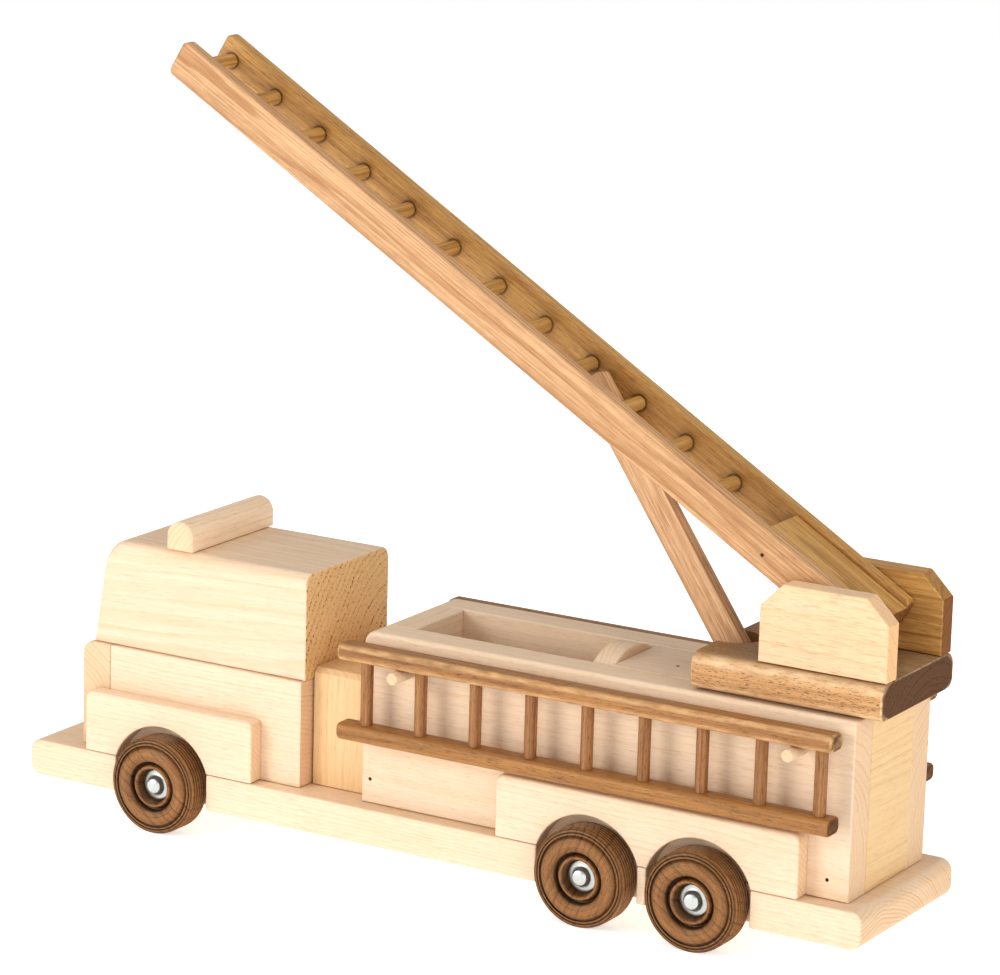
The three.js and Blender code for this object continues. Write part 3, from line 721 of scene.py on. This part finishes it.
def running_gear():
    for place in ("front", "middle", "rear"):
        low, high = span(f"axle_{place}")
        y, z = middle_line(low, high)
        shaft = rod((low[0], y, z), (high[0], y, z), AXLE_RADIUS, 0.4)
        new_piece(f"axle_{place}_steel", shaft, [ZINC], "truck", [f"axle_{place}"])
        for side, sign in (("left", 1), ("right", -1)):
            node = f"wheel_{place}_{side}"
            low, high = span(node)
            inner = low[0] if sign > 0 else high[0]
            profile = wheel_profile((high[2] - low[2]) / 2, high[0] - low[0])
            geometry = lathe(profile, (inner, y, z), X * sign, 144)
            turn = 0.9 * sign + y * 0.02
            pith = (inner + sign * 20, y + 60 * math.cos(turn), z + 60 * math.sin(turn))
            grain = Vector((0.12 * sign, math.sin(turn), -math.cos(turn)))
            seed = y * 0.1 + sign
            stain_and_shade = groove_stain_and_shade(y, z)
            material = wood(f"{node}_walnut", "dark_walnut", grain, pith, (0.03, 0.02), seed, stain_and_shade=stain_and_shade)
            new_piece(f"{node}_turned", geometry, [material], node, [node])
            push_cap(place, side, sign, y, z)


def push_cap(place, side, sign, y, z):
    node = f"axle_cap_{place}_{side}"
    low, high = span(node)
    seat = low[0] if sign > 0 else high[0]
    length = high[0] - low[0]
    flange = [(3.3, 0.0), (7.3, 0.0), (7.9, 0.15), (8.0, 0.5), (7.8, 0.85), (7.0, 1.05), (6.2, 0.9)]
    neck = [(5.3, 1.1), (4.7, 1.5), (4.4, 2.2)]
    crown = [(4.3, 1.5), (4.1, 0.9), (3.6, 0.45), (2.8, 0.2), (1.5, 0.05), (0.0, 0.0)]
    profile = flange + neck + [(radius, length - down) for radius, down in crown]
    geometry = lathe(profile, (seat, y, z), X * sign, 64)
    new_piece(f"{node}_steel", geometry, [ZINC], "truck", [node])


# ---------------------------------------------------------------- turntable and aerial ladder

def turntable():
    low, high = span("turntable")
    notch = 12.7
    notch_y = 146.2
    reach = math.degrees(math.asin((notch_y - low[1]) / notch))
    outline = [(low[0], low[1], 1.2)]
    outline += arc(0, notch_y, notch, 180 + reach, -reach, 36)
    outline += [(high[0], low[1], 1.2), (high[0], high[1], 1.2), (low[0], high[1], 1.2)]

    def rim(radius):
        return lambda side_middle, _: radius if abs(side_middle.x) > high[0] - 1 else 0.8

    # The turntable's walnut: its long rims are lightened by wear and by a painted highlight.
    walnut_with_rim_highlight = dict(
        early=srgb(212, 166, 116), late=srgb(140, 94, 54), end=srgb(128, 88, 48), wear_and_highlight_colour=srgb(246, 212, 170),
        pores=0.75, pore_size=(0.5, 2.6), streak=0.35, edge=1.0, coat=0.05,
        end_strength=0.95, end_late=0.9, fleck=1.2,
    )

    # Painted shade: everything but the long sides is darkened by 0.4, so the top reads darker than the lit
    # sides.
    def painted_top_shade(g, place_x, _, __):
        return g.ramp(g.math("DIVIDE", g.math("ABSOLUTE", place_x), high[0]), (0.90, 0.4), (0.985, 0.0))

    pith = (-20, 0, low[2] - 40)
    material = wood("turntable_walnut", "walnut", Y, pith, (0.01, 0.012), 41.0, 1.05, painted_top_shade, **walnut_with_rim_highlight)
    geometry = slab(outline, low[2], high[2], "XY", rim(6.5), rim(5.0), 8)
    new_piece("turntable_wood", geometry, [material], "turntable", ["turntable"])

    for side, sign in (("left", 1), ("right", -1)):
        node = f"turntable_cheek_{side}"
        low, high = span(node)
        corners = cut_rectangle(low[1:], high[1:], 12.0, 0.5, 1.6)
        # The left cheek's pale colours are partly its own paler board and partly painted light on its lit
        # outer face; the right cheek's darker honey and dark end grain are partly painted shade.
        pale_and_lit = dict(
            early=srgb(240, 208, 172), late=srgb(214, 164, 116), streak=0.15, late_strength=0.35,
            end=srgb(244, 198, 142), end_strength=0.6,
        )
        colours = pale_and_lit if side == "left" else dict(end=srgb(132, 84, 38), end_strength=0.9)
        pith = (sign * 70, 0, low[2] - 20)
        material = wood(f"{node}_honey", "honey", Y, pith, (0.015, 0.02), 44.0 + sign, **colours)
        geometry = slab(corners, low[0], high[0], "YZ", 0.9)
        new_piece(f"{node}_wood", geometry, [material], "turntable", [node])

    low, high = span("ladder_pivot_dowel")
    y, z = middle_line(low, high)
    material = wood("pivot_dowel_pine", "pine", X, (0, y - 8, z - 14), seed=47.0)
    dowel = rod((low[0], y, z), (high[0], y, z), (high[2] - low[2]) / 2)
    new_piece("pivot_dowel_wood", dowel, [material], "turntable", ["ladder_pivot_dowel"])


def rung_hole_darkening(pivot):
    """A darker ring round each rung on the inner faces of the rails."""
    sine, cosine = math.sin(LADDER_ANGLE), math.cos(LADDER_ANGLE)
    half = RUNG_PITCH / 2
    stained_half_width, whole = 16.5, 10.0

    def stain_and_shade(g, place_x, place_y, place_z):
        y, z = g.math("SUBTRACT", place_y, pivot.y), g.math("SUBTRACT", place_z, pivot.z)
        climb = g.math("MULTIPLY_ADD", z, sine, g.math("MULTIPLY", y, -cosine))
        above = g.math("MULTIPLY_ADD", y, sine, g.math("MULTIPLY", z, cosine))
        phase = g.math("FLOORED_MODULO", g.math("SUBTRACT", climb, TOP_RUNG - half), RUNG_PITCH)
        along = g.math("SUBTRACT", phase, half)
        above = g.math("ADD", above, RUNG_DROP)
        radius = g.math("SQRT", g.math("MULTIPLY_ADD", along, along, g.math("MULTIPLY", above, above)))
        ring = g.ramp(g.math("DIVIDE", radius, whole), (0.36, 0.75), (0.44, 0.6), (0.52, 0.15), (0.8, 0.0))
        inside = g.math("LESS_THAN", g.math("ABSOLUTE", place_x), stained_half_width)
        drilled = g.math("GREATER_THAN", climb, TOP_RUNG - 11.5 * RUNG_PITCH)
        return g.math("MULTIPLY", ring, g.math("MULTIPLY", inside, drilled))
    return stain_and_shade


def aerial_ladder():
    pivot = joint_place("ladder_raise")
    up = Vector((0, -math.cos(LADDER_ANGLE), math.sin(LADDER_ANGLE)))
    hole_darkening = rung_hole_darkening(pivot)
    half = LADDER_DEPTH / 2
    bottom, top = LADDER_PIVOT_FROM_END, LADDER_PIVOT_FROM_END - LADDER_LENGTH
    # The left rail's paler colours are partly its own tone and partly painted light for its lit outer face;
    # the right rail keeps the darker honey, partly painted shade for its shaded inner face.
    near_pale_and_lit = dict(
        early=srgb(230, 187, 142), late=srgb(164, 110, 62), streak=0.6, pores=0.35, late_strength=0.8,
    )
    far = dict(pores=0.6, pore_size=(0.32, 8.0))
    for side, sign in (("left", 1), ("right", -1)):
        node = f"ladder_rail_{side}"
        low, high = span(node)
        outline = rectangle((top, -half), (bottom, half), 3.0)
        geometry = turned(slab(outline, low[0], high[0], "YZ", 1.3, 1.3, 5), pivot, LADDER_ANGLE)
        offset = Vector((sign * 46, 0, 0)) + Vector((0, math.sin(LADDER_ANGLE), math.cos(LADDER_ANGLE))) * 9
        colours = near_pale_and_lit if side == "left" else far
        pith = pivot + offset
        seed = 51.0 + 3 * sign
        material = wood(f"{node}_honey", "honey", up, pith, (0.012, 0.006), seed, stain_and_shade=hole_darkening, **colours)
        new_piece(f"{node}_wood", geometry, [material], "aerial_ladder", [node])

    low, high = span("ladder_base_block")
    length, height = 71.8, 17.2
    outline = rectangle((bottom - length, -half), (bottom, -half + height), 0.5, 0.5, 0.8, 0.8)
    geometry = turned(slab(outline, low[0], high[0], "YZ", 0.4), pivot, LADDER_ANGLE)
    material = wood("ladder_block_honey", "honey", up, pivot + Vector((4, 0, -30)), (0.01, 0.02), 57.0)
    new_piece("ladder_block_wood", geometry, [material], "aerial_ladder", ["ladder_base_block"])

    for number in range(1, 13):
        node = f"ladder_rung_{number:02d}"
        low, high = span(node)
        y, z = middle_line(low, high)
        pith = (0, y - 7, z - 9 - number)
        material = wood(f"{node}_honey", "honey", X, pith, seed=60.0 + number, tint=0.96)
        dowel = rod((low[0], y, z), (high[0], y, z), (high[2] - low[2]) / 2, 0.4, 40)
        new_piece(f"{node}_wood", dowel, [material], "aerial_ladder", [node])


def prop():
    heel = joint_place("prop_fold")
    heel_radius, width, thickness, length = 1.6, 15.4, 7.4, 160.7
    low, high = (-length, -heel_radius), (heel_radius, width - heel_radius)
    corners = rectangle(low, high, 0.8, heel_radius, 0.8, 3.0)
    geometry = slab(corners, -thickness / 2, thickness / 2, "YZ", 0.7)
    geometry = turned(geometry, heel, PROP_ANGLE, PROP_LEAN)
    up = Vector((-math.sin(PROP_LEAN), -math.cos(PROP_ANGLE), math.sin(PROP_ANGLE)))
    pith = heel + Vector((26, 8, 6))
    colours = dict(early=srgb(236, 194, 150), late=srgb(164, 108, 62))
    material = wood("prop_honey", "honey", up, pith, (0.01, 0.02), 75.0, **colours)
    new_piece("prop_wood", geometry, [material], "prop", ["ladder_prop"])


def nail_marks():
    """Filled nail holes: shallow discs, each a hair proud of its face."""
    filler = nail_dark()
    left_face = span("bed_side_left")[1][0]
    rail_face = span("ladder_rail_left")[1][0]
    deck_top = span("deck_board")[1][2]
    marks = [
        ("bed_front", (left_face, -37.6, 47.8), X, "truck"),
        ("bed_rear", (left_face, 220.8, 44.9), X, "truck"),
        ("rail", (rail_face, 169.8, 193.1), X, "aerial_ladder"),
        ("deck", (5.0, 116.9, deck_top), Z, "truck"),
    ]
    for name, place, outward, body in marks:
        start = Vector(place) - outward * 0.2
        profile = [(0, 0), (1.0, 0.0), (1.05, 0.1), (0.95, 0.22), (0.5, 0.25), (0, 0.26)]
        new_piece(f"nail_mark_{name}", lathe(profile, start, outward, 20), [filler], body, [])


# ---------------------------------------------------------------- side ladders and pegs

def side_ladders():
    rail_width, rail_height = 12.7, 8.8
    centre_x, rung_radius = 52.4, 3.175
    first_rung, pitch, rungs = -33.4, 31.75, 9
    for side, sign in (("left", 1), ("right", -1)):
        body = f"side_ladder_{side}"
        nodes = {
            "upper": f"side_ladder_upper_rail_{side}",
            "lower": f"side_ladder_lower_rail_with_rungs_{side}",
        }
        low, high = span(nodes["upper"])
        bottoms = {level: span(node)[0][2] for level, node in nodes.items()}
        for level, bottom in bottoms.items():
            middle, half = sign * centre_x, rail_width / 2
            corners = rectangle((middle - half, bottom), (middle + half, bottom + rail_height), 3.2)
            geometry = slab(corners, low[1], high[1], "XZ", 1.6, 1.6, 5)
            pith = (sign * 90, 0, bottom + 14)
            seed = 81.0 + sign + (5 if level == "upper" else 0)
            # The upper rail's rims are lightened strongly, wear and a painted highlight on its top-lit edge;
            # the lower rail's rims less.
            wear_and_highlight = dict(early=srgb(178, 128, 78), edge=0.9, wear_and_highlight_colour=srgb(228, 186, 136))
            rail_wear_and_highlight = wear_and_highlight if level == "upper" else dict(edge=0.5, early=srgb(174, 124, 70))
            material = wood(f"{body}_{level}_walnut", "walnut", Y, pith, (0.012, 0.01), seed, 1.05, **rail_wear_and_highlight)
            new_piece(f"{body}_{level}_wood", geometry, [material], body, [nodes[level]])
        for number in range(rungs):
            y = first_rung + pitch * number
            start = (sign * centre_x, y, bottoms["lower"] + rail_height - 3)
            end = (sign * centre_x, y, bottoms["upper"] + 3)
            pith = (sign * centre_x + 9, y - 11 - number, 0)
            material = wood(f"{body}_rung_{number}_walnut", "walnut", Z, pith, seed=90.0 + number)
            dowel = rod(start, end, rung_radius, 0.3)
            new_piece(f"{body}_rung_{number}", dowel, [material], body, [])
        for place in ("front", "rear"):
            node = f"peg_{place}_{side}"
            low, high = span(node)
            y, z = middle_line(low, high)
            inner, outer = (low[0], high[0]) if sign > 0 else (high[0], low[0])
            material = wood(f"{node}_pine", "pine", X, (0, y - 9, z - 12), seed=101.0 + sign, tint=0.97)
            dowel = rod((inner, y, z), (outer, y, z), (high[2] - low[2]) / 2, 0.8)
            new_piece(f"{node}_wood", dowel, [material], "truck", [node])


# ---------------------------------------------------------------- stage, light and camera

def stage():
    size = 30.0
    mesh = bpy.data.meshes.new("floor")
    corners = [(-size, -size, 0), (size, -size, 0), (size, size, 0), (-size, size, 0)]
    mesh.from_pydata(corners, [], [(0, 1, 2, 3)])
    floor = bpy.data.objects.new("floor", mesh)
    g = Graph("floor_paper")
    place = g.node("ShaderNodeTexCoord").outputs["Object"]
    mottle = g.node("ShaderNodeTexNoise", {"Vector": place, "Scale": 2.0, "Detail": 2.0}).outputs["Fac"]
    colour = g.mix(mottle, srgb(246, 246, 246), srgb(250, 250, 250))
    mesh.materials.append(g.finish({
        "Base Color": colour,
        "Roughness": 0.9,
        "Specular IOR Level": 0.1,
        "Emission Color": (1.0, 1.0, 1.0, 1.0),
        "Emission Strength": 0.47,
    }))
    bpy.context.scene.collection.objects.link(floor)


def area_light(name, place, target, size, power, colour=(1, 1, 1)):
    data = bpy.data.lights.new(name, "AREA")
    data.shape = "RECTANGLE"
    data.size, data.size_y = size
    data.energy = power
    data.color = colour
    light = bpy.data.objects.new(name, data)
    light.location = place
    light.rotation_euler = (Vector(target) - Vector(place)).to_track_quat("-Z", "Y").to_euler()
    bpy.context.scene.collection.objects.link(light)


def lights():
    """Softboxes at the front left, overhead, at the left and behind, and a dim sky with a white backdrop."""
    world = bpy.data.worlds.new("studio")
    bpy.context.scene.world = world
    world.use_nodes = True
    nodes, links = world.node_tree.nodes, world.node_tree.links
    place = nodes.new("ShaderNodeTexCoord")
    split = nodes.new("ShaderNodeSeparateXYZ")
    ramp = nodes.new("ShaderNodeValToRGB")
    ramp.color_ramp.elements[0].color = (0.5, 0.5, 0.5, 1.0)
    ramp.color_ramp.elements[1].position = 0.25
    background = nodes["Background"]
    background.inputs["Strength"].default_value = 0.37
    links.new(place.outputs["Generated"], split.inputs[0])
    links.new(split.outputs["Z"], ramp.inputs[0])
    links.new(ramp.outputs[0], background.inputs["Color"])
    backdrop = nodes.new("ShaderNodeBackground")
    backdrop.inputs["Color"].default_value = (0.98, 0.98, 0.98, 1.0)
    seen = nodes.new("ShaderNodeMixShader")
    links.new(nodes.new("ShaderNodeLightPath").outputs["Is Camera Ray"], seen.inputs[0])
    links.new(background.outputs[0], seen.inputs[1])
    links.new(backdrop.outputs[0], seen.inputs[2])
    links.new(seen.outputs[0], nodes["World Output"].inputs["Surface"])
    towards, rise, distance = math.radians(-33), math.radians(20), 2.2
    key_place = (
        distance * math.cos(towards) * math.cos(rise),
        distance * math.sin(towards) * math.cos(rise),
        distance * math.sin(rise),
    )
    area_light("key", key_place, (0, 0, 0.1), (0.9, 0.9), 16.4, (1.0, 0.985, 0.96))
    area_light("overhead", (0.2, 0.0, 2.3), (0, 0, 0.1), (1.6, 1.6), 10.5)
    area_light("camera_side_fill", (2.1, 1.0, 0.45), (0, 0, 0.1), (1.4, 0.8), 6.3)
    area_light("back_fill", (0.7, 2.1, 0.9), (0, 0, 0.1), (1.4, 1.2), 13.0, (1.0, 0.98, 0.95))
    bpy.context.scene.view_settings.view_transform = "Standard"
    bpy.context.scene.view_settings.look = "Medium High Contrast"


def camera():
    """The camera stands at the vehicle's rear left, a little above it, and is rolled slightly."""
    azimuth, elevation, roll = math.radians(120.56), math.radians(13.44), math.radians(1.57)
    distance, across, height = 2.1865, 0.00833, 0.19192
    level = math.cos(elevation)
    away = Vector((math.sin(azimuth) * level, -math.cos(azimuth) * level, math.sin(elevation)))
    right = Vector((-away.y, away.x, 0)).normalized()
    upward = away.cross(right)
    data = bpy.data.cameras.new("camera")
    data.sensor_width = 36.0
    data.lens = 153.6
    view = bpy.data.objects.new("camera", data)
    rolled_right = right * math.cos(roll) + upward * math.sin(roll)
    rolled_up = upward * math.cos(roll) - right * math.sin(roll)
    matrix = Matrix((rolled_right, rolled_up, away)).transposed().to_4x4()
    matrix.translation = right * across + upward * height + away * distance
    view.matrix_world = matrix
    bpy.context.scene.collection.objects.link(view)
    bpy.context.scene.camera = view


chassis()
cab()
fender("front", "left", ["front"], 2.0)
fender("front", "right", ["front"], 3.0)
fender("rear", "left", ["middle", "rear"], 5.0)
fender("rear", "right", ["middle", "rear"], 7.0)
bed()
running_gear()
turntable()
aerial_ladder()
prop()
nail_marks()
side_ladders()
stage()
lights()
camera()
